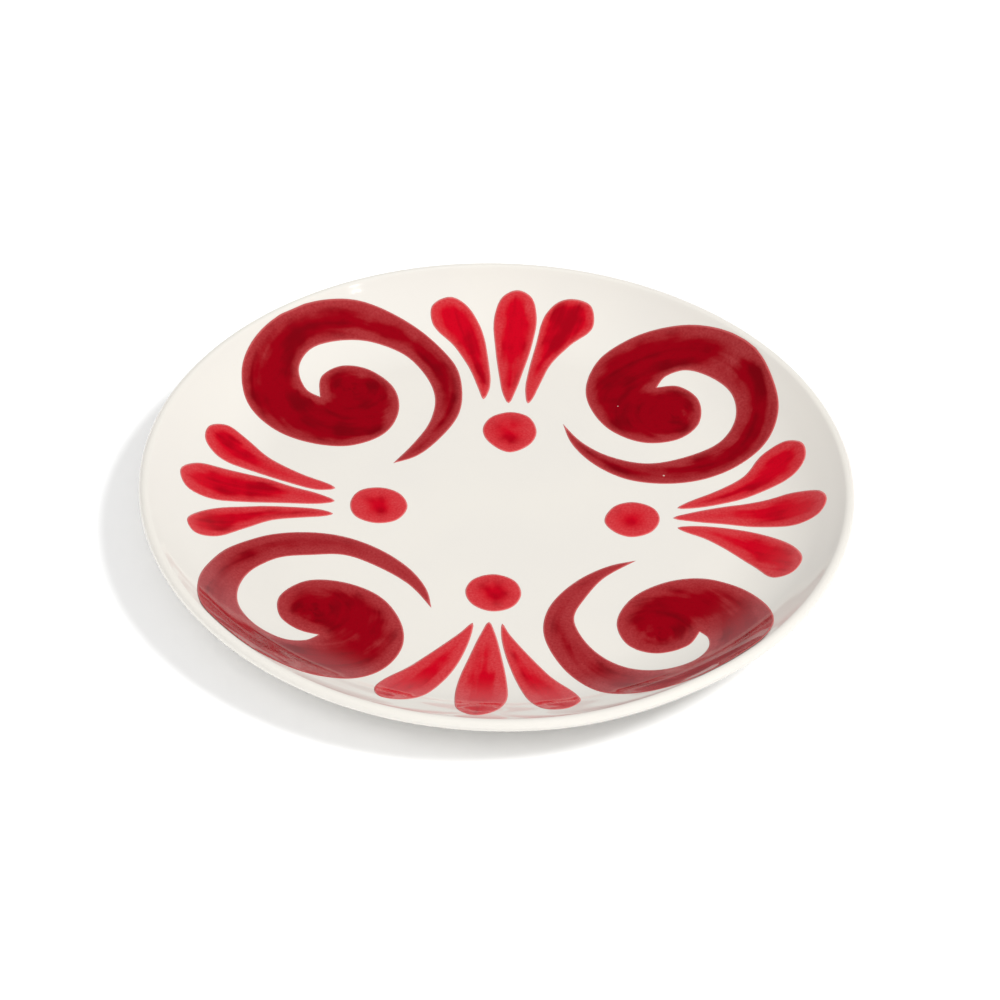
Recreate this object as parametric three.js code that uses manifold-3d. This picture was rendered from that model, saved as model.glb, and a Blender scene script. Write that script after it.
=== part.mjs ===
// Hand painted ceramic plate: a round coupe plate with a soft raised wall, a rounded lip and a foot ring,
// glazed white and painted with four scrolls, four fans of three petals and four dots.
//
// Millimetres, +Z up. The origin is on the table under the middle of the plate.
// The plate is built up in the layers that it is made in: fired clay, white glaze, brush strokes.
// Every layer follows the same face, only set in or out from it, so the layers lie on each other evenly.

import * as THREE from 'three';
import { mergeVertices } from 'three/addons/utils/BufferGeometryUtils.js';
import Module from 'manifold-3d';

const wasm = await Module();
wasm.setup();

// ---- Driving dimensions ----

const RIM_RADIUS = 135; // the outside of the lip
const HEIGHT = 24.5; // from the table to the top of the lip
const FLOOR_HEIGHT = 8; // from the table to the painted face in the middle
const FLOOR_RADIUS = 92; // the flat floor ends here and the wall starts
const FLOOR_THICKNESS = 4.8;
const LIP_RADIUS = 2.2; // the lip is round in section
const UNDERSIDE_RADIUS = 94; // the level underside ends here and the outer wall starts
const FOOT_RADIUS = 84; // the middle of the foot ring
const FOOT_WIDTH = 5; // the bare edge that stands on the table
const FOOT_DRAFT = 1.5; // each side of the foot leans out by this much on its way up
const FOOT_BARE = 1.3; // the glaze stops at this height on the foot

const GLAZE = 0.4; // thickness of the glaze
const PAINT = 0.2; // thickness of a brush stroke
const GAP = 0.1; // clearance between two layers

const LATHE_SEGMENTS = 48;
const WALL_STEPS = 6;
const LIP_STEPS = 6;
const STEPS_PER_SPAN = 3; // an outline is cut into this many straight pieces between two of its points
const WELD_DISTANCE = 1e-4;

// ---- Profile, worked out from the driving dimensions ----

// Along a profile, x is the distance from the plate's axis and y is the height over the table.

function point(x, y) {
  return new THREE.Vector2(x, y);
}

const LIP_CENTRE = point(RIM_RADIUS - LIP_RADIUS, HEIGHT - LIP_RADIUS);
const UNDERSIDE = FLOOR_HEIGHT - FLOOR_THICKNESS;

// An arc that leaves a level stretch smoothly at a radius and height, and meets the lip's circle smoothly:
// the inner wall touches the circle from outside (side 1) and the outer wall holds it inside (side -1).
function wallArc(startRadius, startHeight, side) {
  const run = LIP_CENTRE.x - startRadius;
  const rise = LIP_CENTRE.y - startHeight;
  const radius = (run ** 2 + rise ** 2 - LIP_RADIUS ** 2) / (2 * (rise + side * LIP_RADIUS));
  return {
    centre: point(startRadius, startHeight + radius),
    radius,
    endAngle: Math.atan2(rise - radius, run),
  };
}

const INNER_WALL = wallArc(FLOOR_RADIUS, FLOOR_HEIGHT, 1);
const OUTER_WALL = wallArc(UNDERSIDE_RADIUS, UNDERSIDE, -1);

// Points on an arc about a centre, both ends included. Angles are measured from +X of the profile.
function arc(centre, radius, from, to, steps) {
  const points = [];
  for (let i = 0; i <= steps; i++) {
    const angle = from + (to - from) * i / steps;
    points.push(point(centre.x + radius * Math.cos(angle), centre.y + radius * Math.sin(angle)));
  }
  return points;
}

// The inner wall from the floor up to the lip, set in from the face by a distance.
function innerWall(inset) {
  const { centre, radius, endAngle } = INNER_WALL;
  return arc(centre, radius + inset, -Math.PI / 2, endAngle, WALL_STEPS);
}

// The lip over the top to the outside, then the outer wall down to the level underside.
function lipAndOuterWall(inset) {
  const { centre, radius, endAngle } = OUTER_WALL;
  const over = arc(LIP_CENTRE, LIP_RADIUS - inset, INNER_WALL.endAngle + Math.PI, endAngle, LIP_STEPS);
  const down = arc(centre, radius - inset, endAngle, -Math.PI / 2, WALL_STEPS);
  return [...over.slice(1), ...down.slice(1)];
}

// The radius of the foot's outer (side 1) or inner (side -1) face at a height, set in by a distance.
function footRadius(side, height, inset) {
  const lean = FOOT_DRAFT * height / UNDERSIDE;
  return FOOT_RADIUS + side * (FOOT_WIDTH / 2 + lean - inset);
}

// ---- Geometry helpers ----

// A profile turned about the plate's axis. It starts and ends on the axis or closes on itself.
function turned(profile) {
  const geometry = new THREE.LatheGeometry(profile, LATHE_SEGMENTS);
  geometry.rotateX(Math.PI / 2); // the lathe turns its profile about Y, and the plate's axis is Z
  return welded(geometry);
}

// The same shape with its shared vertices merged, as a closed mesh needs.
function welded(geometry) {
  geometry.deleteAttribute('normal');
  geometry.deleteAttribute('uv');
  return mergeVertices(geometry, WELD_DISTANCE);
}

function toManifold(geometry) {
  const vertProperties = new Float32Array(geometry.attributes.position.array);
  const triVerts = new Uint32Array(geometry.index.array);
  return new wasm.Manifold(new wasm.Mesh({ numProp: 3, vertProperties, triVerts }));
}

function fromManifold(manifold) {
  const mesh = manifold.getMesh();
  const geometry = new THREE.BufferGeometry();
  geometry.setAttribute('position', new THREE.BufferAttribute(mesh.vertProperties, 3));
  geometry.setIndex(new THREE.BufferAttribute(mesh.triVerts, 1));
  return geometry;
}

// ---- Clay and glaze ----

// The clay: the face and the outside set in by the glaze on them, and the bare foot at its full size.
function clayBody() {
  const inset = GLAZE + GAP;
  const under = UNDERSIDE + inset;
  return turned([
    point(0, FLOOR_HEIGHT - inset),
    ...innerWall(inset),
    ...lipAndOuterWall(inset),
    point(footRadius(1, under, inset), under),
    point(footRadius(1, FOOT_BARE, inset), FOOT_BARE),
    point(footRadius(1, FOOT_BARE - inset, 0), FOOT_BARE - inset),
    point(footRadius(1, 0, 0), 0),
    point(footRadius(-1, 0, 0), 0),
    point(footRadius(-1, under, 0), under),
    point(0, under),
  ].reverse());
}

// The coat over the face, the lip and the outside, down to the bare foot.
function whiteGlaze() {
  const skin = (inset) => {
    const under = UNDERSIDE + inset;
    return [
      point(0, FLOOR_HEIGHT - inset),
      ...innerWall(inset),
      ...lipAndOuterWall(inset),
      point(footRadius(1, under, inset), under),
      point(footRadius(1, FOOT_BARE + GAP, inset), FOOT_BARE + GAP),
    ];
  };
  return turned([...skin(GLAZE), ...skin(0).reverse()]);
}

// The disc of glaze inside the foot ring.
function baseGlaze() {
  const edge = footRadius(-1, UNDERSIDE + GLAZE, 0) - GAP;
  return turned([
    point(0, UNDERSIDE),
    point(edge, UNDERSIDE),
    point(edge, UNDERSIDE + GLAZE),
    point(0, UNDERSIDE + GLAZE),
  ]);
}

// ---- Brush strokes ----

const PATTERN_CENTRE = point(2.4, -1.2); // the painter's middle, a little off the plate's
const FILM_TOP = 2 * HEIGHT; // above every stroke

// The pattern repeats by quarter turns, each painted freehand, so each quarter has its own outlines.
// A quarter's frame has its fan of petals along +Y and its scroll between +Y and +X. A scroll's outer
// edge runs from the tail's tip round to the notch at its eye, and its inner edge runs back to the tip.
const QUARTERS = [
  {
    fan: 'back',
    corner: 'back_right',
    outer: [
      [20, 55.5], [24, 44], [33, 32.5], [46, 24.5], [61, 23], [76, 27], [90, 37], [100, 48.5], [103.5, 61.5],
      [101, 75], [93, 91], [79, 102.5], [63, 108], [46, 106.5], [33, 97.5], [28, 83], [29, 69.5], [38, 54],
      [52, 47], [65.5, 50.5], [73, 61], [72, 74], [63.5, 81.5], [55.5, 81],
    ],
    inner: [
      [55.5, 81], [58.5, 86.5], [66, 89], [76.5, 84], [85, 74.5], [87, 62.5], [81.5, 50], [67, 39], [53, 34.5],
      [38, 38], [27.5, 45.5], [20, 55.5],
    ],
    petals: [
      [
        [-12, 68], [-10, 75.5], [-11.5, 91], [-15.5, 108.5], [-22, 118], [-29, 120.5], [-36, 116], [-35, 108.5],
        [-26, 99.5], [-19, 87], [-14, 73],
      ],
      [
        [-2, 66.5], [0, 73], [2.5, 87], [5, 103], [6, 115], [3.5, 123], [-2.5, 125.5], [-8.5, 122.5],
        [-11, 114], [-9.5, 100], [-7, 84], [-4.5, 71.5],
      ],
      [
        [5.5, 67], [4, 75], [4.5, 87], [6.5, 103], [9, 116], [14, 121.5], [20.5, 122.5], [27.5, 119.5],
        [28.5, 111], [20.5, 103.5], [13.5, 93], [9.5, 79], [7, 69.5],
      ],
    ],
    dot: [[-0.5, 61], [-8, 57.5], [-11, 50], [-8.5, 42.5], [0, 36.5], [7.5, 41.5], [10, 49.5], [6.5, 58.5]],
  },
  {
    fan: 'right',
    corner: 'front_right',
    outer: [
      [23, 52], [27, 42], [37, 30], [52, 21], [66, 19.5], [80, 24.5], [93, 34], [102.5, 45], [106, 58],
      [104, 72], [95.5, 88], [82.5, 99], [66, 104.5], [49, 101.5], [36, 92], [31, 79], [34, 64.5], [44.5, 51.5],
      [59, 46.5], [71, 51.5], [75, 62.5], [70.5, 73.5], [62, 77.5],
    ],
    inner: [
      [62, 77.5], [66, 80.5], [73.5, 81], [81.5, 76.5], [86, 67], [85, 54.5], [77.5, 41.5], [67, 33.5],
      [57, 30.5], [45, 34.5], [34, 40.5], [23, 52],
    ],
    petals: [
      [
        [-9, 66.5], [-9.5, 73], [-14, 86], [-20.5, 99], [-27, 110.5], [-34, 114.5], [-42, 113], [-45.5, 106.5],
        [-41, 98], [-30, 91.5], [-20, 80.5], [-13, 70.5],
      ],
      [
        [-3, 65], [-1.5, 74], [-1, 86], [0.5, 101], [2, 113], [-0.5, 120.5], [-7, 123], [-13.5, 120],
        [-17, 110], [-15.5, 101], [-12, 86.5], [-7, 72.5],
      ],
      [
        [2.5, 67], [1, 72.5], [1, 84], [3, 95.5], [9, 106], [17, 112.5], [25, 114.5], [31.5, 111], [32, 104],
        [24, 97], [14.5, 87], [8, 77.5], [4.5, 69.5],
      ],
    ],
    dot: [[-1.5, 60], [-8, 57.5], [-11, 49.5], [-8, 42.5], [1, 39], [7, 43], [9.5, 49.5], [6, 57]],
  },
  {
    fan: 'front',
    corner: 'front_left',
    outer: [
      [23, 56.5], [25.5, 46.5], [33, 35], [46, 24.5], [61, 18.5], [77, 18], [91, 22], [102, 31], [108, 44.5],
      [110, 58], [107.5, 75], [98, 91], [81, 102.5], [64, 107.5], [50, 103.5], [38, 92.5], [32, 79],
      [33.5, 66], [42.5, 52], [57, 45], [71, 45.5], [80, 55], [78.5, 67.5], [71, 74], [63.5, 75.5],
    ],
    inner: [
      [63.5, 75.5], [68, 80], [76, 82], [86, 77.5], [93.5, 67.5], [95.5, 55], [92, 42], [83, 33.5], [70, 30.5],
      [58, 29.5], [45, 35], [32, 44.5], [23, 56.5],
    ],
    petals: [
      [
        [-4, 63], [-4, 69.5], [-6.5, 81], [-12, 96.5], [-18, 110], [-24, 116.5], [-31, 116], [-35.5, 108.5],
        [-33, 101], [-23.5, 90.5], [-14, 78.5], [-7, 68.5],
      ],
      [
        [1, 62.5], [3.5, 69], [7, 82.5], [10, 96], [10.5, 109], [8.5, 120], [2.5, 125], [-4, 120.5],
        [-8.5, 108], [-8, 96.5], [-5, 81.5], [-1.5, 68],
      ],
      [
        [7, 63.5], [7, 70], [10.5, 85.5], [16.5, 99], [23.5, 110.5], [31, 116], [37.5, 115.5], [40, 107.5],
        [37, 99], [27.5, 88.5], [17.5, 77], [11, 69],
      ],
    ],
    dot: [[0.5, 56.5], [-7, 53.5], [-10, 46], [-7, 38.5], [1, 35.5], [8.5, 39], [11, 46], [8, 53]],
  },
  {
    fan: 'left',
    corner: 'back_left',
    outer: [
      [26, 44], [31, 35.5], [43, 27], [58, 21], [75, 21], [90, 25.5], [103.5, 37.5], [110, 51.5], [111, 65.5],
      [105.5, 80.5], [94.5, 94.5], [80, 104], [66, 107], [52, 103], [41, 90.5], [35, 76], [35, 61.5],
      [43.5, 49], [58, 44.5], [72.5, 48], [82, 58.5], [82, 69], [74.5, 76.5], [63.5, 76],
    ],
    inner: [
      [63.5, 76], [66.5, 81.5], [76, 85.5], [86, 82], [93, 72], [96, 59], [92, 45], [81, 36], [67, 31], [52, 32],
      [39, 37], [26, 44],
    ],
    petals: [
      [
        [-6, 64.5], [-4, 69.5], [-3.5, 82], [-4.5, 95.5], [-8, 107], [-14.5, 115], [-21.5, 118.5], [-27.5, 115],
        [-26, 107.5], [-18.5, 98], [-12, 87.5], [-9.5, 77], [-7.5, 67],
      ],
      [
        [1.5, 64.5], [5, 70.5], [8.5, 81.5], [13, 94], [14.5, 107], [13, 118], [5.5, 124], [-2.5, 121],
        [-4.5, 113], [-2.5, 99.5], [-1.5, 84], [-0.5, 69.5],
      ],
      [
        [9, 65], [7.5, 71.5], [11, 84], [16, 97.5], [20, 111], [27, 117], [34.5, 116], [38, 109.5], [34, 102],
        [24, 91], [16, 78], [11, 67],
      ],
    ],
    dot: [[1, 58.5], [-6.5, 56], [-10, 48], [-7.5, 40], [0.5, 36.5], [8, 40], [11, 47.5], [8.5, 55.5]],
  },
];

// The thin shell over the whole painted face, from which every stroke is cut.
function paintShell() {
  const skin = (inset) => [point(0, FLOOR_HEIGHT - inset), ...innerWall(inset)];
  return toManifold(turned([...skin(-GAP), ...skin(-GAP - PAINT).reverse()]));
}

// A smooth curve through an outline's points, as points close enough together to look round.
function smooth(points, closed) {
  const curve = new THREE.CatmullRomCurve3(points.map(([x, y]) => new THREE.Vector3(x, y, 0)), closed);
  const spans = closed ? points.length : points.length - 1;
  const samples = curve.getPoints(spans * STEPS_PER_SPAN).slice(0, -1);
  return samples.map(({ x, y }) => point(x, y));
}

// An outline, placed in its quarter and cut from the shell of paint.
function strokeFilm(outline, quarterTurns, shell) {
  const placed = outline.map((p) => p.clone().rotateAround(point(0, 0), -quarterTurns * Math.PI / 2)
    .add(PATTERN_CENTRE));
  const prism = new THREE.ExtrudeGeometry(new THREE.Shape(placed), { depth: FILM_TOP, bevelEnabled: false });
  return fromManifold(toManifold(welded(prism)).intersect(shell));
}

// ---- Materials and assembly ----

const CLAY_FINISH = { color: '#d9c3a3', roughness: 0.85 };
const GLAZE_FINISH = { color: '#f1ede4', roughness: 0.12 };
const CRIMSON_FINISH = { color: '#8d1420', roughness: 0.15 };
const RED_FINISH = { color: '#c9202f', roughness: 0.15 };

function piece(name, geometry, finish) {
  geometry.computeVertexNormals();
  const mesh = new THREE.Mesh(geometry, new THREE.MeshStandardMaterial({ ...finish, metalness: 0 }));
  mesh.name = name;
  return mesh;
}

const plate = new THREE.Group();
plate.add(piece('clay_body', clayBody(), CLAY_FINISH));
plate.add(piece('white_glaze', whiteGlaze(), GLAZE_FINISH));
plate.add(piece('base_glaze', baseGlaze(), GLAZE_FINISH));

const shell = paintShell();
QUARTERS.forEach(({ fan, corner, outer, inner, petals, dot }, turns) => {
  const scroll = [...smooth(outer, false), ...smooth(inner, false)];
  plate.add(piece(`scroll_${corner}`, strokeFilm(scroll, turns, shell), CRIMSON_FINISH));
  petals.forEach((petal, i) => {
    plate.add(piece(`petal_${fan}_${i + 1}`, strokeFilm(smooth(petal, true), turns, shell), RED_FINISH));
  });
  plate.add(piece(`dot_${fan}`, strokeFilm(smooth(dot, true), turns, shell), RED_FINISH));
});

export default plate;
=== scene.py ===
"""The looks of the hand painted ceramic plate, built around its CAD layers: smooth clay and glaze turned
about the plate's axis, and twenty brush strokes whose colour is thin, mottled and streaky as real brushwork.

Lengths are in millimetres until a mesh is made. The frame is the CAD model's: +Z up, the table at Z 0.
"""

import math

import bpy
import numpy as np
from mathutils import Matrix, Vector
from mathutils.geometry import delaunay_2d_cdt


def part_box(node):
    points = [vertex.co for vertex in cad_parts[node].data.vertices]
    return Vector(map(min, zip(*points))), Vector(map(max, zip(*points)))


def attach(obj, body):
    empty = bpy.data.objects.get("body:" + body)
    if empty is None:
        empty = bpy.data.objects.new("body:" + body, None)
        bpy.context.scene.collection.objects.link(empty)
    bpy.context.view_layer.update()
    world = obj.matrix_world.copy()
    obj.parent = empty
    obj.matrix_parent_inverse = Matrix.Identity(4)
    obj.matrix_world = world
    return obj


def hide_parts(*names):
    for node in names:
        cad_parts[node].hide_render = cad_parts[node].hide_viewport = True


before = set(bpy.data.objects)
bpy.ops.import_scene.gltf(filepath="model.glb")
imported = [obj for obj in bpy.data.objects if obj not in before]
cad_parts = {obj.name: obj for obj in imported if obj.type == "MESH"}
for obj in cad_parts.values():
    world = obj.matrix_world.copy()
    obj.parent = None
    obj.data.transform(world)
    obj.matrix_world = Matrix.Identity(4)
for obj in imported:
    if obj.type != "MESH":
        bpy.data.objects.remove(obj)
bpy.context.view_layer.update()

MM = 0.001
BODY = "root"

# ---- The plate's sizes: the outer ones from the frame, and the inner ones as in the CAD model ----

GLAZE = 0.4  # the thickness of the coat
GAP = 0.1  # left between two layers
RIM_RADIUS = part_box("white_glaze")[1].x / MM
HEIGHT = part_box("white_glaze")[1].z / MM
FLOOR_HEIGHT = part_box("dot_back")[0].z / MM - GAP
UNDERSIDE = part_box("base_glaze")[0].z / MM
LIP_RADIUS = 2.2
FLOOR_RADIUS = 92.0  # the level face ends here and the inner wall starts
UNDERSIDE_RADIUS = 94.0  # the level underside ends here and the outer wall starts
FOOT_RADIUS = 84.0  # the middle of the foot ring
FOOT_WIDTH = 5.0  # the bare edge that stands on the table
FOOT_DRAFT = 1.5  # each side of the foot leans out by this much on its way up
FOOT_BARE = 1.3  # the glaze stops at this height on the foot
WORN_EDGE = 0.35  # how much the bare clay's edges are rounded off
GLAZE_BEND = 0.8  # how softly the glaze turns from the underside down the foot
BEND_RUN = 3.0  # the level stretch before such a turn

# ---- Fineness ----

TURNS = 320  # sides of a turned shape
STEP = 1.5  # length of one step along a profile
FINE_STEP = 0.3  # the same round the lip
CORNER_STEPS = 6  # points on a rounded corner
FILM_STEP = 0.8  # distance between two points of a brush stroke

# ---- Profiles, as points (radius, height) ----

LIP_CENTRE = (RIM_RADIUS - LIP_RADIUS, HEIGHT - LIP_RADIUS)


def wall_arc(start_radius, start_height, side):
    """Centre, radius and end angle of the arc from a level stretch smoothly into the lip's circle."""
    run = LIP_CENTRE[0] - start_radius
    rise = LIP_CENTRE[1] - start_height
    radius = (run**2 + rise**2 - LIP_RADIUS**2) / (2 * (rise + side * LIP_RADIUS))
    return (start_radius, start_height + radius), radius, math.atan2(rise - radius, run)


INNER_CENTRE, INNER_RADIUS, INNER_END = wall_arc(FLOOR_RADIUS, FLOOR_HEIGHT, 1)
OUTER_CENTRE, OUTER_RADIUS, OUTER_END = wall_arc(UNDERSIDE_RADIUS, UNDERSIDE, -1)


def arc(centre, radius, start, end, step):
    """Points on an arc, both ends included."""
    count = max(2, math.ceil(abs(end - start) * radius / step))
    angles = np.linspace(start, end, count)
    return [(centre[0] + radius * math.cos(a), centre[1] + radius * math.sin(a)) for a in angles]


def line(start, end, step):
    """Points on a straight stretch, without its end."""
    count = max(2, math.ceil(math.dist(start, end) / step))
    return [tuple(p) for p in np.linspace(start, end, count)[:-1]]


def skin(inset):
    """The face from the middle out, over the lip and down to the level underside, set in by a distance."""
    face = line((0, FLOOR_HEIGHT - inset), (FLOOR_RADIUS, FLOOR_HEIGHT - inset), 2 * STEP)
    wall = arc(INNER_CENTRE, INNER_RADIUS + inset, -math.pi / 2, INNER_END, STEP)
    lip = arc(LIP_CENTRE, LIP_RADIUS - inset, INNER_END + math.pi, OUTER_END, FINE_STEP)
    outside = arc(OUTER_CENTRE, OUTER_RADIUS - inset, OUTER_END, -math.pi / 2, STEP)
    return face + wall + lip[1:] + outside[1:]


def foot_radius(side, height, inset):
    """The radius of the foot's outer (side 1) or inner (side -1) face at a height, set in by a distance."""
    lean = FOOT_DRAFT * height / UNDERSIDE
    return FOOT_RADIUS + side * (FOOT_WIDTH / 2 + lean - inset)


def rounded(corners, radius):
    """A profile's straight stretches with each inner corner rounded off."""
    points = [corners[0]]
    for before, corner, after in zip(corners, corners[1:], corners[2:]):
        before, corner, after = map(Vector, (before, corner, after))
        start = corner + (before - corner).normalized() * radius
        end = corner + (after - corner).normalized() * radius
        for share in np.linspace(0, 1, CORNER_STEPS):
            points.append(tuple(start.lerp(corner, share).lerp(corner.lerp(end, share), share)))
    return points + [corners[-1]]


def clay_profile():
    """The clay: set in under the glaze, and bare at the foot, whose edges are worn round."""
    inset = GLAZE + GAP
    under = UNDERSIDE + inset
    foot = [
        (foot_radius(1, under, inset) + BEND_RUN, under),
        (foot_radius(1, under, inset), under),
        (foot_radius(1, FOOT_BARE, inset), FOOT_BARE),
        (foot_radius(1, FOOT_BARE - inset, 0), FOOT_BARE - inset),
        (foot_radius(1, 0, 0), 0),
        (foot_radius(-1, 0, 0), 0),
        (foot_radius(-1, under, 0), under),
        (foot_radius(-1, under, 0) - BEND_RUN, under),
    ]
    return skin(inset) + rounded(foot, WORN_EDGE) + [(0, under)]


def white_glaze_profile():
    """The coat from the middle of the face to a round bead at the foot, and back along the clay."""
    bead = FOOT_BARE + GAP + GLAZE / 2
    under = UNDERSIDE + GLAZE
    outer = [
        (foot_radius(1, UNDERSIDE, 0) + BEND_RUN, UNDERSIDE),
        (foot_radius(1, UNDERSIDE, 0), UNDERSIDE),
        (foot_radius(1, bead, 0), bead),
    ]
    inner = [
        (foot_radius(1, bead, GLAZE), bead),
        (foot_radius(1, under, GLAZE), under),
        (foot_radius(1, under, GLAZE) + BEND_RUN, under),
    ]
    end = arc((foot_radius(1, bead, GLAZE / 2), bead), GLAZE / 2, 0, -math.pi, FINE_STEP / 4)
    foot = rounded(outer, GLAZE_BEND) + end[1:-1] + rounded(inner, GLAZE_BEND)
    return skin(0) + foot + skin(GLAZE)[::-1]


def base_glaze_profile():
    """The disc of glaze inside the foot, with its edge rounded off."""
    top = UNDERSIDE + GLAZE
    edge = foot_radius(-1, top, 0) - GAP
    corners = [(0, top), (edge, top), (edge, UNDERSIDE), (edge - BEND_RUN, UNDERSIDE)]
    return rounded(corners, GLAZE / 3) + [(0, UNDERSIDE)]


# ---- The uneven rim of a hand made plate ----

DIP = 2.2  # the rim is lower by this much at the front
DIP_LEFT = (-175.0, -100.0)  # from the left the dip starts at the first angle and is full at the second
DIP_RIGHT = (-48.0, -78.0)  # and from the right
DIP_RADII = (119.0, 134.0)  # it starts on the upper wall and is full at the lip
OVAL = 1.2  # the rim stands out by this much more to the left and right
OVAL_RADII = (124.0, 134.0)


def smoothstep(value, low, high):
    """Goes smoothly from 0 at low to 1 at high, and low may be above high."""
    share = np.clip((value - low) / (high - low), 0, 1)
    return share * share * (3 - 2 * share)


def rim_dip(points):
    """How far down the uneven rim lies at each point (x, y), below 0."""
    radius = np.hypot(points[:, 0], points[:, 1])
    angle = np.degrees(np.arctan2(points[:, 1], points[:, 0]))
    front = smoothstep(angle, *DIP_LEFT) * smoothstep(angle, *DIP_RIGHT)
    return -DIP * front * smoothstep(radius, *DIP_RADII)


def uneven(points):
    """Points (x, y, z) of an even plate, moved to where they lie on the hand made one."""
    moved = points.copy()
    radius = np.maximum(np.hypot(points[:, 0], points[:, 1]), 1)
    stretch = OVAL * (points[:, 0] / radius) ** 2 * smoothstep(radius, *OVAL_RADII)
    moved[:, :2] *= (1 + stretch / radius)[:, None]
    moved[:, 2] += rim_dip(points)
    return moved


# ---- Turned shapes ----


def make_mesh(name, vertices, faces, smooth=None):
    """A new object from vertices in millimetres. Faces are smooth, or only those that smooth says."""
    mesh = bpy.data.meshes.new(name)
    mesh.from_pydata([Vector(v) * MM for v in vertices], [], faces)
    mesh.polygons.foreach_set("use_smooth", [True] * len(faces) if smooth is None else smooth)
    mesh.update()
    made = bpy.data.objects.new(name, mesh)
    bpy.context.scene.collection.objects.link(made)
    return made


def turned(name, profile):
    """A profile turned about the plate's axis, with one point on the axis and triangles round it."""
    vertices, rings = [], []
    for radius, height in profile:
        if radius == 0:
            rings.append([len(vertices)] * TURNS)
            vertices.append((0, 0, height))
            continue
        rings.append(list(range(len(vertices), len(vertices) + TURNS)))
        for angle in np.arange(TURNS) * (2 * math.pi / TURNS):
            vertices.append((radius * math.cos(angle), radius * math.sin(angle), height))
    faces = []
    for lower, upper in zip(rings, rings[1:]):
        for i in range(TURNS):
            j = (i + 1) % TURNS
            faces.append(list(dict.fromkeys((lower[i], upper[i], upper[j], lower[j]))))
    return make_mesh(name, uneven(np.array(vertices, float)), faces)


# ---- Brush strokes ----

STRAIGHT = 0.3  # a bend under this many degrees is only where a facet of the CAD model crosses the outline
SHARP = 60.0  # a bend over this many degrees is a real corner
SAME_POINT = 0.05  # two points of the CAD outline nearer than this are one
SAME_CORNER = 1e-5  # and two corners of a film's triangles nearer than this
FILM_LIFT = (0.08, 0.16)  # the colour's thickness at its edge and inside
FILM_SWELL = 3.0  # it swells from one to the other over this distance
FILM_DEPTH = 0.12  # and it reaches this far down into the glaze


def face_height(radius):
    """The height of the painted face at a radius."""
    return INNER_CENTRE[1] - np.sqrt(INNER_RADIUS**2 - np.clip(radius - FLOOR_RADIUS, 0, None) ** 2)


def cad_outline(name):
    """A CAD stroke's outline seen from above, counter-clockwise: the edges that only one top face has."""
    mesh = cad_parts[name].data
    mesh.calc_loop_triangles()
    corners = np.array([v.co for v in mesh.vertices]) / MM
    triangles = np.array([t.vertices for t in mesh.loop_triangles])
    corners, merged = np.unique(np.round(corners, 3), axis=0, return_inverse=True)
    triangles = merged.ravel()[triangles]
    a, b, c = (corners[triangles[:, i]] for i in range(3))
    normals = np.cross(b - a, c - a)
    top = triangles[normals[:, 2] > 0.5 * np.linalg.norm(normals, axis=1)]
    edges = {(t[i], t[(i + 1) % 3]) for t in top for i in range(3)}
    following = {start: end for start, end in edges if (end, start) not in edges}
    start = min(following)
    walk = [start]
    while following[walk[-1]] != start:
        walk.append(following[walk[-1]])
    return corners[walk, :2]


def bends(points):
    """The turn at each point of a closed outline in degrees, positive to the left."""
    before = points - np.roll(points, 1, axis=0)
    after = np.roll(points, -1, axis=0) - points
    cross = before[:, 0] * after[:, 1] - before[:, 1] * after[:, 0]
    return np.degrees(np.arctan2(cross, (before * after).sum(axis=1)))


def spline_span(before, start, end, after):
    """Evenly stepped points from start, without end, on the centripetal curve through four points."""
    pairs = ((before, start), (start, end), (end, after))
    knots = np.cumsum([0] + [math.sqrt(math.dist(p, q)) for p, q in pairs])
    count = max(2, round(math.dist(start, end) / FILM_STEP))
    t = np.linspace(knots[1], knots[2], count, endpoint=False)[:, None]

    def blend(p, q, low, high):
        return ((high - t) * p + (t - low) * q) / (high - low)

    first = blend(before, start, knots[0], knots[1])
    middle = blend(start, end, knots[1], knots[2])
    last = blend(end, after, knots[2], knots[3])
    early = blend(first, middle, knots[0], knots[2])
    late = blend(middle, last, knots[1], knots[3])
    return blend(early, late, knots[1], knots[2])


def smooth_outline(points):
    """The outline with its facets smoothed away and its real corners kept."""
    points = points[np.linalg.norm(points - np.roll(points, 1, axis=0), axis=1) > SAME_POINT]
    points = points[np.abs(bends(points)) > STRAIGHT]
    sharp = np.abs(bends(points)) > SHARP
    spans = []
    count = len(points)
    for i in range(count):
        start, end = points[i], points[(i + 1) % count]
        before = 2 * start - end if sharp[i] else points[i - 1]
        after = 2 * end - start if sharp[(i + 1) % count] else points[(i + 2) % count]
        spans.append(spline_span(before, start, end, after))
    return np.concatenate(spans)


def distances(points, outline):
    """The distance of each point to the nearest point of an outline."""
    ends = np.roll(outline, -1, axis=0)
    along = ends - outline
    nearest = np.full(len(points), np.inf)
    for start, step in zip(outline, along):
        share = np.clip(((points - start) @ step) / (step @ step), 0, 1)
        nearest = np.minimum(nearest, np.linalg.norm(points - start - share[:, None] * step, axis=1))
    return nearest


def inside(points, outline):
    """Which points lie within an outline."""
    x, y = points.T
    result = np.zeros(len(points), bool)
    for (x1, y1), (x2, y2) in zip(outline, np.roll(outline, -1, axis=0)):
        if y1 != y2:
            result ^= ((y1 > y) != (y2 > y)) & (x < (x2 - x1) * (y - y1) / (y2 - y1) + x1)
    return result


def filling(outline):
    """Points in a triangular pattern inside an outline, clear of its edge."""
    low, high = outline.min(axis=0), outline.max(axis=0)
    rows = np.arange(low[1], high[1], FILM_STEP * math.sqrt(3) / 2)
    columns = np.arange(low[0], high[0], FILM_STEP)
    grid = np.array([(x + FILM_STEP / 2 * (i % 2), y) for i, y in enumerate(rows) for x in columns])
    grid = grid[inside(grid, outline)]
    return grid[distances(grid, outline) > FILM_STEP / 2]


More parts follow.
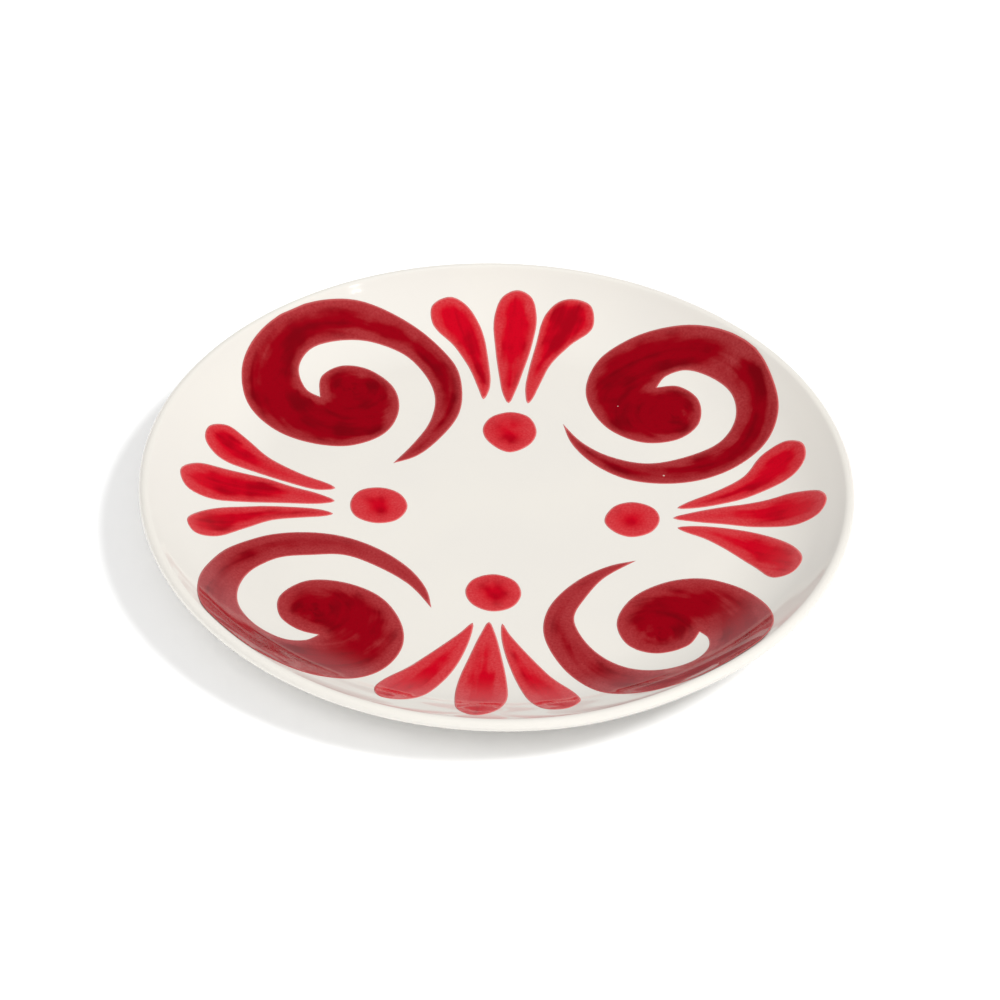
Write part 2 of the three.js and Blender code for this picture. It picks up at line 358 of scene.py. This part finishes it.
def triangulated(outline):
    """Points and triangles that fill an outline evenly."""
    points = np.vstack([outline, filling(outline)])
    count = len(outline)
    border = [(i, (i + 1) % count) for i in range(count)]
    # Output 0 fills the convex hull of the points, so the triangles outside the outline are dropped after it.
    made = delaunay_2d_cdt([Vector(p) for p in points], border, [], 0, SAME_CORNER, False)
    points, faces = np.array([tuple(v) for v in made[0]]), np.array(made[2])
    faces = faces[inside(points[faces].mean(axis=1), outline)]
    return points, faces.tolist()


def film(name):
    """A brush stroke as a thin closed film on the smooth face, and the outline that it fills."""
    outline = smooth_outline(cad_outline(name))
    points, faces = triangulated(outline)
    edge = distances(points, outline)
    face = face_height(np.linalg.norm(points, axis=1)) + rim_dip(points)
    lift = FILM_LIFT[0] + (FILM_LIFT[1] - FILM_LIFT[0]) * smoothstep(edge, 0, FILM_SWELL)
    top = np.column_stack([points, face + lift])
    bottom = np.column_stack([points, face - FILM_DEPTH])
    count = len(points)
    directed = {(f[i], f[(i + 1) % 3]) for f in faces for i in range(3)}
    rim = [(a, b) for a, b in directed if (b, a) not in directed]
    walls = [[b, a, a + count, b + count] for a, b in sorted(rim)]
    under = [[i + count for i in reversed(f)] for f in faces]
    smooth = [True] * (2 * len(faces)) + [False] * len(walls)
    made = make_mesh(f"{name}_colour", np.vstack([top, bottom]), faces + under + walls, smooth)
    return made, outline, points, edge


# How fully the brush was loaded, for the strokes whose names start so. The front strokes get less, and their
# lighter, muted colour is a painted sheen: it stands in for the pale reflection of the gloss at the front.
LOADS_AND_SHEEN = {
    "dot": 0.5,
    "petal_front": 0.9,
    "petal_back": 1.25,
    "petal_left": 0.9,
    "petal_right": 0.95,
    "scroll_front": 0.58,
    "scroll_back": 0.95,
}
TIP_LOAD = 0.6  # the part of it that is left at a stroke's thin end
TIP_REACH = 12.0

# Where more colour pooled under the brush, or less, and one painted highlight: x, y, reach and strength,
# above 0 for darker.
POOLS_AND_HIGHLIGHT = [
    (20.5, 114.0, 6.5, 0.4),
    (17.0, 104.0, 5.0, 0.15),
    (-95.0, 3.0, 5.0, 0.1),
    (-105.0, 4.0, 5.0, 0.12),
    (-111.0, -18.0, 5.0, 0.15),
    (-108.0, 29.0, 5.0, 0.18),
    # A painted highlight: this lighter spot on the back right scroll near the rim stands in for light on the
    # gloss.
    (88.0, 88.0, 7.0, -0.3),
    (0.0, 47.0, 8.0, 0.1),
    (51.0, 2.0, 8.0, 0.07),
    (3.0, -47.0, 8.0, 0.07),
    (1.0, -88.0, 28.0, -0.16),
    (88.0, -4.0, 22.0, -0.08),
]


# The marks of the brush are longer than they are wide by a factor in a petal, and larger by one in a dot. In
# a scroll they run round a circle of a size, in millimetres.
PETAL_STREAK = 10.0
DOT_STREAK = 3.0
SCROLL_STREAK = 3.0


def layer(node, edge, tip):
    """How thick the colour lies at each point: it thickens inwards from the outline."""
    load = next(load for start, load in LOADS_AND_SHEEN.items() if node.startswith(start))
    return load * edge * (TIP_LOAD + (1 - TIP_LOAD) * smoothstep(tip, 0, TIP_REACH))


def pooled_and_highlighted(points):
    """How much darker or lighter the colour is at each point, from the pools and the painted highlight."""
    total = np.zeros(len(points))
    for x, y, reach, strength in POOLS_AND_HIGHLIGHT:
        total += strength * np.exp(-((points - (x, y)) ** 2).sum(axis=1) / reach**2)
    return total


def petal_flow(points, outline):
    """Brush coordinates of a petal, and the distance to its thin end, which points to the plate's middle."""
    tip = outline[np.argmin(np.linalg.norm(outline, axis=1))]
    far = outline[np.argmax(np.linalg.norm(outline - tip, axis=1))]
    forward = (far - tip) / np.linalg.norm(far - tip)
    along = (points - tip) @ forward
    across = (points - tip) @ np.array([-forward[1], forward[0]])
    flow = np.column_stack([across, along / PETAL_STREAK, np.zeros(len(points))])
    return flow, np.linalg.norm(points - tip, axis=1)


def scroll_flow(points, outline):
    """Brush coordinates of a scroll, which run round its middle, and the distance to the tip of its tail."""
    tip = outline[np.argmax(bends(outline))]
    middle = (outline.min(axis=0) + outline.max(axis=0)) / 2
    radius = np.linalg.norm(points - middle, axis=1)
    turn = np.arctan2(*(points - middle).T)
    flow = np.column_stack([radius, SCROLL_STREAK * np.cos(turn), SCROLL_STREAK * np.sin(turn)])
    return flow, np.linalg.norm(points - tip, axis=1)


def dot_flow(points, outline):
    """Brush coordinates of a dot, which is dabbed and has no thin end."""
    middle = outline.mean(axis=0)
    away = points - middle
    flow = np.column_stack([away / DOT_STREAK, np.zeros(len(points))])
    return flow, np.full(len(points), 2 * RIM_RADIUS)


FLOWS = {"petal": petal_flow, "scroll": scroll_flow, "dot": dot_flow}


def store(mesh, name, kind, values):
    """Keeps a value for each point of a film, the same on its top and its underside."""
    attribute = mesh.attributes.new(name, kind, "POINT")
    field = "vector" if kind == "FLOAT_VECTOR" else "value"
    attribute.data.foreach_set(field, np.concatenate([values, values]).astype(np.float32).ravel())


def brush_stroke(node, material):
    """The colour of one stroke, with what its material needs to know at each point."""
    made, outline, points, edge = film(node)
    flow, tip = FLOWS[node.split("_")[0]](points, outline)
    store(made.data, "edge", "FLOAT", edge)
    store(made.data, "layer", "FLOAT", layer(node, edge, tip))
    store(made.data, "pool_and_highlight", "FLOAT", pooled_and_highlighted(points))
    store(made.data, "flow", "FLOAT_VECTOR", flow)
    made.data.materials.append(material)
    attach(made, BODY)
    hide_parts(node)


# ---- Materials ----

# A size is that of a feature of the noise. A range is where the noise starts to show something, where it
# shows it fully and, as a third value, how strongly.

GLASS_IOR = 1.5
MELT_SIZE = 14
MELT_DEPTH = 0.02

WHITE = (0.584, 0.561, 0.518)
CLOUDY_WHITE = (0.574, 0.552, 0.513)
CLOUD_SIZE = 45
CLOUD_RANGE = (0.35, 0.65)
SPECK = (0.52, 0.46, 0.38)
SPECK_SIZE = 0.9
SPECK_RANGE = (0.76, 0.82, 0.35)
GLAZE_ROUGHNESS = 0.04
DULL_RANGE = (0.3, 0.7, 0.05)  # the clouds add this to the roughness
PEEL_SIZE = 1.5
PEEL_DEPTH = 0.0006  # the fine unevenness of the glaze
RING_SIZE = 3
RING_DEPTH = 0.05  # the marks of turning on its outside
OVERHANG = (0.0, -0.4)  # they start where it turns downwards and are full where its normal is this low

DARK_CLAY = (0.52, 0.36, 0.22)
LIGHT_CLAY = (0.68, 0.52, 0.35)
CLAY_PATCH_SIZE = 6
CLAY_ROUGHNESS = 0.85
DARK_GRIT = (0.25, 0.14, 0.08)
DARK_GRIT_RANGE = (0.62, 0.7, 0.7)
PALE_GRIT = (0.8, 0.7, 0.55)
PALE_GRIT_RANGE = (0.38, 0.3, 0.6)
GRIT_SIZE = 0.5
GRIT_DEPTH = 0.12


class Shader:
    """Adds nodes to a new material or world."""

    def __init__(self, owner):
        self.owner = owner
        owner.use_nodes = True
        self.tree = owner.node_tree
        self.tree.nodes.clear()

    def add(self, kind, inputs, output, **settings):
        """Adds a node with its settings and inputs, values or nodes' outputs, and returns one output."""
        made = self.tree.nodes.new(kind)
        for name, value in settings.items():
            setattr(made, name, value)
        for key, value in inputs.items():
            if isinstance(value, bpy.types.NodeSocket):
                self.tree.links.new(value, made.inputs[key])
            else:
                made.inputs[key].default_value = value
        return made.outputs[output]

    def attribute(self, name, output="Fac"):
        """A value kept for each point of a film."""
        return self.add("ShaderNodeAttribute", {}, output, attribute_name=name)

    def place(self):
        """The point's place in the plate's frame, in millimetres."""
        place = self.add("ShaderNodeTexCoord", {}, "Object")
        return self.add("ShaderNodeVectorMath", {0: place, 3: 1 / MM}, "Vector", operation="SCALE")

    def noise(self, place, size, detail):
        """Smooth noise about 0.5, with features of a size in the units of the place."""
        inputs = {"Vector": place, "Scale": 1 / size, "Detail": detail}
        return self.add("ShaderNodeTexNoise", inputs, "Fac")

    def ramp(self, value, low, high, end=1.0):
        """Goes smoothly from 0 at low to an end value at high, and low may be above high."""
        inputs = {"Value": value, "From Min": low, "From Max": high, "To Max": end}
        return self.add("ShaderNodeMapRange", inputs, "Result", interpolation_type="SMOOTHSTEP")

    def calculate(self, operation, first, second):
        """One step of arithmetic on two values or nodes' outputs."""
        return self.add("ShaderNodeMath", {0: first, 1: second}, "Value", operation=operation)

    def mix(self, factor, first, second):
        """A colour between two, each a colour (r, g, b) or another node's output."""
        colours = [c if isinstance(c, bpy.types.NodeSocket) else (*c, 1) for c in (first, second)]
        return self.add("ShaderNodeMix", {0: factor, 6: colours[0], 7: colours[1]}, 2, data_type="RGBA")

    def bump(self, height, depth, normal=None):
        """A normal bumped by a height from 0 to 1 that stands for a depth in millimetres."""
        inputs = {"Height": height, "Distance": depth * MM, "Strength": 1.0}
        if normal is not None:
            inputs["Normal"] = normal
        return self.add("ShaderNodeBump", inputs, "Normal")

    def melt(self, place):
        """The soft waves of a coat that melted in the kiln."""
        return self.bump(self.noise(place, MELT_SIZE, 1), MELT_DEPTH)

    def surface(self, colour, roughness, normal):
        """Ends the material in a solid surface."""
        inputs = {"Base Color": colour, "Roughness": roughness, "Normal": normal, "IOR": GLASS_IOR}
        shader = self.add("ShaderNodeBsdfPrincipled", inputs, "BSDF")
        self.end("ShaderNodeOutputMaterial", shader)
        return self.owner

    def end(self, kind, shader):
        """Ends the node tree in an output of a kind."""
        self.tree.links.new(shader, self.tree.nodes.new(kind).inputs["Surface"])


CRIMSON = {
    "rich": (0.21, 0.0008, 0.005),
    "deep": (0.14, 0.0012, 0.004),
    "muted": (0.28, 0.0265, 0.0295),
    "outline": (0.5, 0.12, 0.115),
}
RED = {
    "rich": (0.425, 0.0014, 0.01),
    "deep": (0.26, 0.0012, 0.0065),
    "muted": (0.445, 0.033, 0.0385),
    "outline": (0.58, 0.18, 0.17),
}
GLOSS = 0.06  # the roughness of the clear coat over the colours
THICKNESS = (5.2, 0.2, 0.95)  # rich over the first thickness, and muted by the share under the second
POOL_LAYER = 8.0  # how much thickness a pool of strength 1 adds
DEPTH = (0.95, 1.35)  # pool and marks together darken it from the first sum on, and fully at the second
STREAK_WIDTH = 4
PATCH_SIZE = 12
GRAIN_SIZE = 0.9
LIGHT_GRAIN_RANGE = (0.45, 0.75, 0.12)  # lightens the colour where it is thin
DARK_GRAIN_RANGE = (0.5, 0.25, 0.3)  # darkens it everywhere
OUTLINE = (0.8, 0, 0.8)  # the soft edge of a stroke is this wide, and right at the outline it is this strong

# Two bubbles burst in the kiln, here (x, y) and of this radius.
PINHOLES = [(43.2, 67.1, 0.38), (62.9, 26.5, 0.52)]
PINHOLE_EDGE = 0.3  # the white shows through this far inside it
PINHOLE_SHARE = 0.9  # and this strongly
PINHOLE_COLOUR = (0.5, 0.36, 0.31)


def turning_rings(shader, place):
    """The height of the faint rings that the potter's tool left on the outside and the underside."""
    flat = shader.add("ShaderNodeVectorMath", {0: place, 1: (1, 1, 0)}, "Vector", operation="MULTIPLY")
    radius = shader.add("ShaderNodeVectorMath", {0: flat}, "Value", operation="LENGTH")
    rings = shader.noise(shader.add("ShaderNodeCombineXYZ", {"X": radius}, "Vector"), RING_SIZE, 2)
    normal = shader.add("ShaderNodeNewGeometry", {}, "True Normal")
    up = shader.add("ShaderNodeSeparateXYZ", {"Vector": normal}, "Z")
    return shader.calculate("MULTIPLY", rings, shader.ramp(up, *OVERHANG))


def glaze_material():
    """Opaque warm white glaze: faintly cloudy, with a few pale specks and the soft waves of a melted coat."""
    shader = Shader(bpy.data.materials.new("white_glaze"))
    place = shader.place()
    clouds = shader.noise(place, CLOUD_SIZE, 3)
    colour = shader.mix(shader.ramp(clouds, *CLOUD_RANGE), WHITE, CLOUDY_WHITE)
    specks = shader.noise(place, SPECK_SIZE, 1)
    colour = shader.mix(shader.ramp(specks, *SPECK_RANGE), colour, SPECK)
    peel = shader.bump(shader.noise(place, PEEL_SIZE, 1), PEEL_DEPTH, shader.melt(place))
    rings = shader.bump(turning_rings(shader, place), RING_DEPTH, peel)
    roughness = shader.calculate("ADD", shader.ramp(clouds, *DULL_RANGE), GLAZE_ROUGHNESS)
    return shader.surface(colour, roughness, rings)


def clay_material():
    """Bare fired clay: sandy, with dark and pale grit and a rough skin."""
    shader = Shader(bpy.data.materials.new("bare_clay"))
    place = shader.place()
    colour = shader.mix(shader.noise(place, CLAY_PATCH_SIZE, 4), DARK_CLAY, LIGHT_CLAY)
    grit = shader.noise(place, GRIT_SIZE, 2)
    colour = shader.mix(shader.ramp(grit, *DARK_GRIT_RANGE), colour, DARK_GRIT)
    colour = shader.mix(shader.ramp(grit, *PALE_GRIT_RANGE), colour, PALE_GRIT)
    return shader.surface(colour, CLAY_ROUGHNESS, shader.bump(grit, GRIT_DEPTH))


def colour_material(name, rich, deep, muted, outline):
    """Brushed colour under a clear gloss: rich where it lies thick, muted and grainy in an uneven border
    where it is thin, deep in pools and along the marks of the brush, and light along its soft outline."""
    shader = Shader(bpy.data.materials.new(name))
    place = shader.place()
    pool_and_highlight = shader.attribute("pool_and_highlight")
    grain = shader.noise(place, GRAIN_SIZE, 3)
    streaks = shader.noise(shader.attribute("flow", "Vector"), STREAK_WIDTH, 2)
    marks = shader.calculate("ADD", streaks, shader.noise(place, PATCH_SIZE, 2))

    depth = shader.calculate("ADD", pool_and_highlight, marks)
    colour = shader.mix(shader.ramp(depth, *DEPTH), rich, deep)
    patches = shader.calculate("POWER", marks, 2)
    thickness = shader.calculate("MULTIPLY", shader.attribute("layer"), patches)
    thickness = shader.calculate("ADD", thickness, shader.calculate("MULTIPLY", pool_and_highlight, POOL_LAYER))
    thin = shader.ramp(thickness, *THICKNESS)
    colour = shader.mix(thin, colour, muted)

    light_grain = shader.calculate("MULTIPLY", thin, shader.ramp(grain, *LIGHT_GRAIN_RANGE))
    colour = shader.mix(light_grain, colour, outline)
    colour = shader.mix(shader.ramp(grain, *DARK_GRAIN_RANGE), colour, deep)
    colour = shader.mix(shader.ramp(shader.attribute("edge"), *OUTLINE), colour, outline)
    for x, y, radius in PINHOLES:
        spot = (x, y, float(face_height(math.hypot(x, y))) + FILM_LIFT[1])
        away = shader.add("ShaderNodeVectorMath", {0: place, 1: spot}, "Value", operation="DISTANCE")
        share = shader.ramp(away, radius, radius - PINHOLE_EDGE, PINHOLE_SHARE)
        colour = shader.mix(share, colour, PINHOLE_COLOUR)
    return shader.surface(colour, GLOSS, shader.melt(place))


# ---- Floor, light and camera ----

VIEW_ELEVATION = math.radians(40.565)
VIEW_TURN = math.radians(2.85)  # the camera stands a little to the right of the plate's front
VIEW_ROLL = math.radians(1.4835)  # and leans a little
VIEW_DISTANCE = 14 * RIM_RADIUS
VIEW_WIDTH = 382.2  # how much the picture takes in, across, at the plate's middle
VIEW_AIM = (1.31, 4.19)  # the middle of the picture, right of and above the middle of the painted floor
SENSOR = 36.0

FLOOR_SIZE = 20 * RIM_RADIUS  # from the middle to each side
FLOOR_WHITE = 0.94
STUDIO_WHITE = 0.58  # the brightness of the studio all round
REFLECTED_BAND = 0.5  # and of what the gloss shows of it, low down
BAND_FADE = (40, 12)  # it starts under the first height and is full under the second, in degrees
KEY_DIRECTION = (0.64, -0.06, 0.77)  # from the right
KEY_STRENGTH = 2.85
KEY_WIDTH = 18
FILL_DIRECTION = (-0.42, -0.75, 0.5)  # low and wide, from the front left
FILL_STRENGTH = 1.9
FILL_WIDTH = 80
GLINT_DIRECTION = (0.52, -0.27, 0.81)  # a small lamp that only shows as a glint on the wall
GLINT_STRENGTH = 0.017
GLINT_WIDTH = 1.6


def make_floor():
    """A plain white table top."""
    corners = [(x * FLOOR_SIZE, y * FLOOR_SIZE, 0) for x, y in ((-1, -1), (1, -1), (1, 1), (-1, 1))]
    made = make_mesh("floor", corners, [[0, 1, 2, 3]])
    shader = Shader(bpy.data.materials.new("floor"))
    white = (FLOOR_WHITE, FLOOR_WHITE, FLOOR_WHITE, 1)
    shader.end("ShaderNodeOutputMaterial", shader.add("ShaderNodeBsdfDiffuse", {"Color": white}, "BSDF"))
    made.data.materials.append(shader.owner)


def make_sun(name, direction, strength, width, glossy=False):
    """A far light in a direction, of an angular width in degrees, which shows in the gloss or not."""
    light = bpy.data.lights.new(name, "SUN")
    light.energy = strength
    light.angle = math.radians(width)
    made = bpy.data.objects.new(name, light)
    made.rotation_euler = Vector(direction).to_track_quat("Z", "Y").to_euler()
    made.visible_glossy = glossy
    bpy.context.scene.collection.objects.link(made)


def make_surroundings():
    """A white studio all round, which shows in the gloss only as a pale band above the table's far edge."""
    world = bpy.data.worlds.new("studio")
    bpy.context.scene.world = world
    shader = Shader(world)
    direction = shader.add("ShaderNodeTexCoord", {}, "Generated")
    height = shader.add("ShaderNodeSeparateXYZ", {"Vector": direction}, "Z")
    top, bottom = (math.sin(math.radians(angle)) for angle in BAND_FADE)
    band = shader.ramp(height, top, bottom, REFLECTED_BAND)
    glossy = shader.add("ShaderNodeLightPath", {}, "Is Glossy Ray")
    strength = shader.add("ShaderNodeMix", {0: glossy, 2: STUDIO_WHITE, 3: band}, 0)
    white = {"Color": (1, 1, 1, 1), "Strength": strength}
    shader.end("ShaderNodeOutputWorld", shader.add("ShaderNodeBackground", white, "Background"))


def make_camera():
    """A long lens that looks down on the plate from the front."""
    sin, cos = math.sin, math.cos
    right = Vector((cos(VIEW_TURN), sin(VIEW_TURN), 0))
    level = Vector((sin(VIEW_TURN), -cos(VIEW_TURN), 0))
    back = level * cos(VIEW_ELEVATION) + Vector((0, 0, sin(VIEW_ELEVATION)))
    roll = Matrix.Rotation(VIEW_ROLL, 3, back)
    right, up = roll @ right, roll @ back.cross(right)
    middle = Vector((0, 0, FLOOR_HEIGHT))
    aim = middle + right * VIEW_AIM[0] + up * VIEW_AIM[1]
    place = middle + back * VIEW_DISTANCE
    back = (place - aim).normalized()
    right = up.cross(back).normalized()
    up = back.cross(right)
    camera = bpy.data.cameras.new("camera")
    camera.sensor_width = SENSOR
    camera.lens = SENSOR * VIEW_DISTANCE / VIEW_WIDTH
    made = bpy.data.objects.new("camera", camera)
    turn = Matrix((right, up, back)).transposed()
    made.matrix_world = Matrix.Translation(place * MM) @ turn.to_4x4()
    bpy.context.scene.collection.objects.link(made)
    bpy.context.scene.camera = made


# ---- The plate ----


def make_layer(node, profile, material):
    """A smooth turned layer in the place of a CAD node."""
    made = turned(f"{node}_smooth", profile)
    made.data.materials.append(material)
    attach(made, BODY)
    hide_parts(node)


def make_plate():
    """The clay, the two coats of glaze and the strokes, each in the place of its CAD node."""
    glaze = glaze_material()
    make_layer("clay_body", clay_profile(), clay_material())
    make_layer("white_glaze", white_glaze_profile(), glaze)
    make_layer("base_glaze", base_glaze_profile(), glaze)
    crimson = colour_material("crimson", **CRIMSON)
    red = colour_material("red", **RED)
    for node in sorted(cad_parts):
        if node.startswith("scroll"):
            brush_stroke(node, crimson)
        elif node.startswith(("petal", "dot")):
            brush_stroke(node, red)


make_plate()
make_floor()
make_sun("key", KEY_DIRECTION, KEY_STRENGTH, KEY_WIDTH)
make_sun("fill", FILL_DIRECTION, FILL_STRENGTH, FILL_WIDTH)
make_sun("glint", GLINT_DIRECTION, GLINT_STRENGTH, GLINT_WIDTH, True)
make_surroundings()
make_camera()
bpy.context.scene.view_settings.view_transform = "Standard"
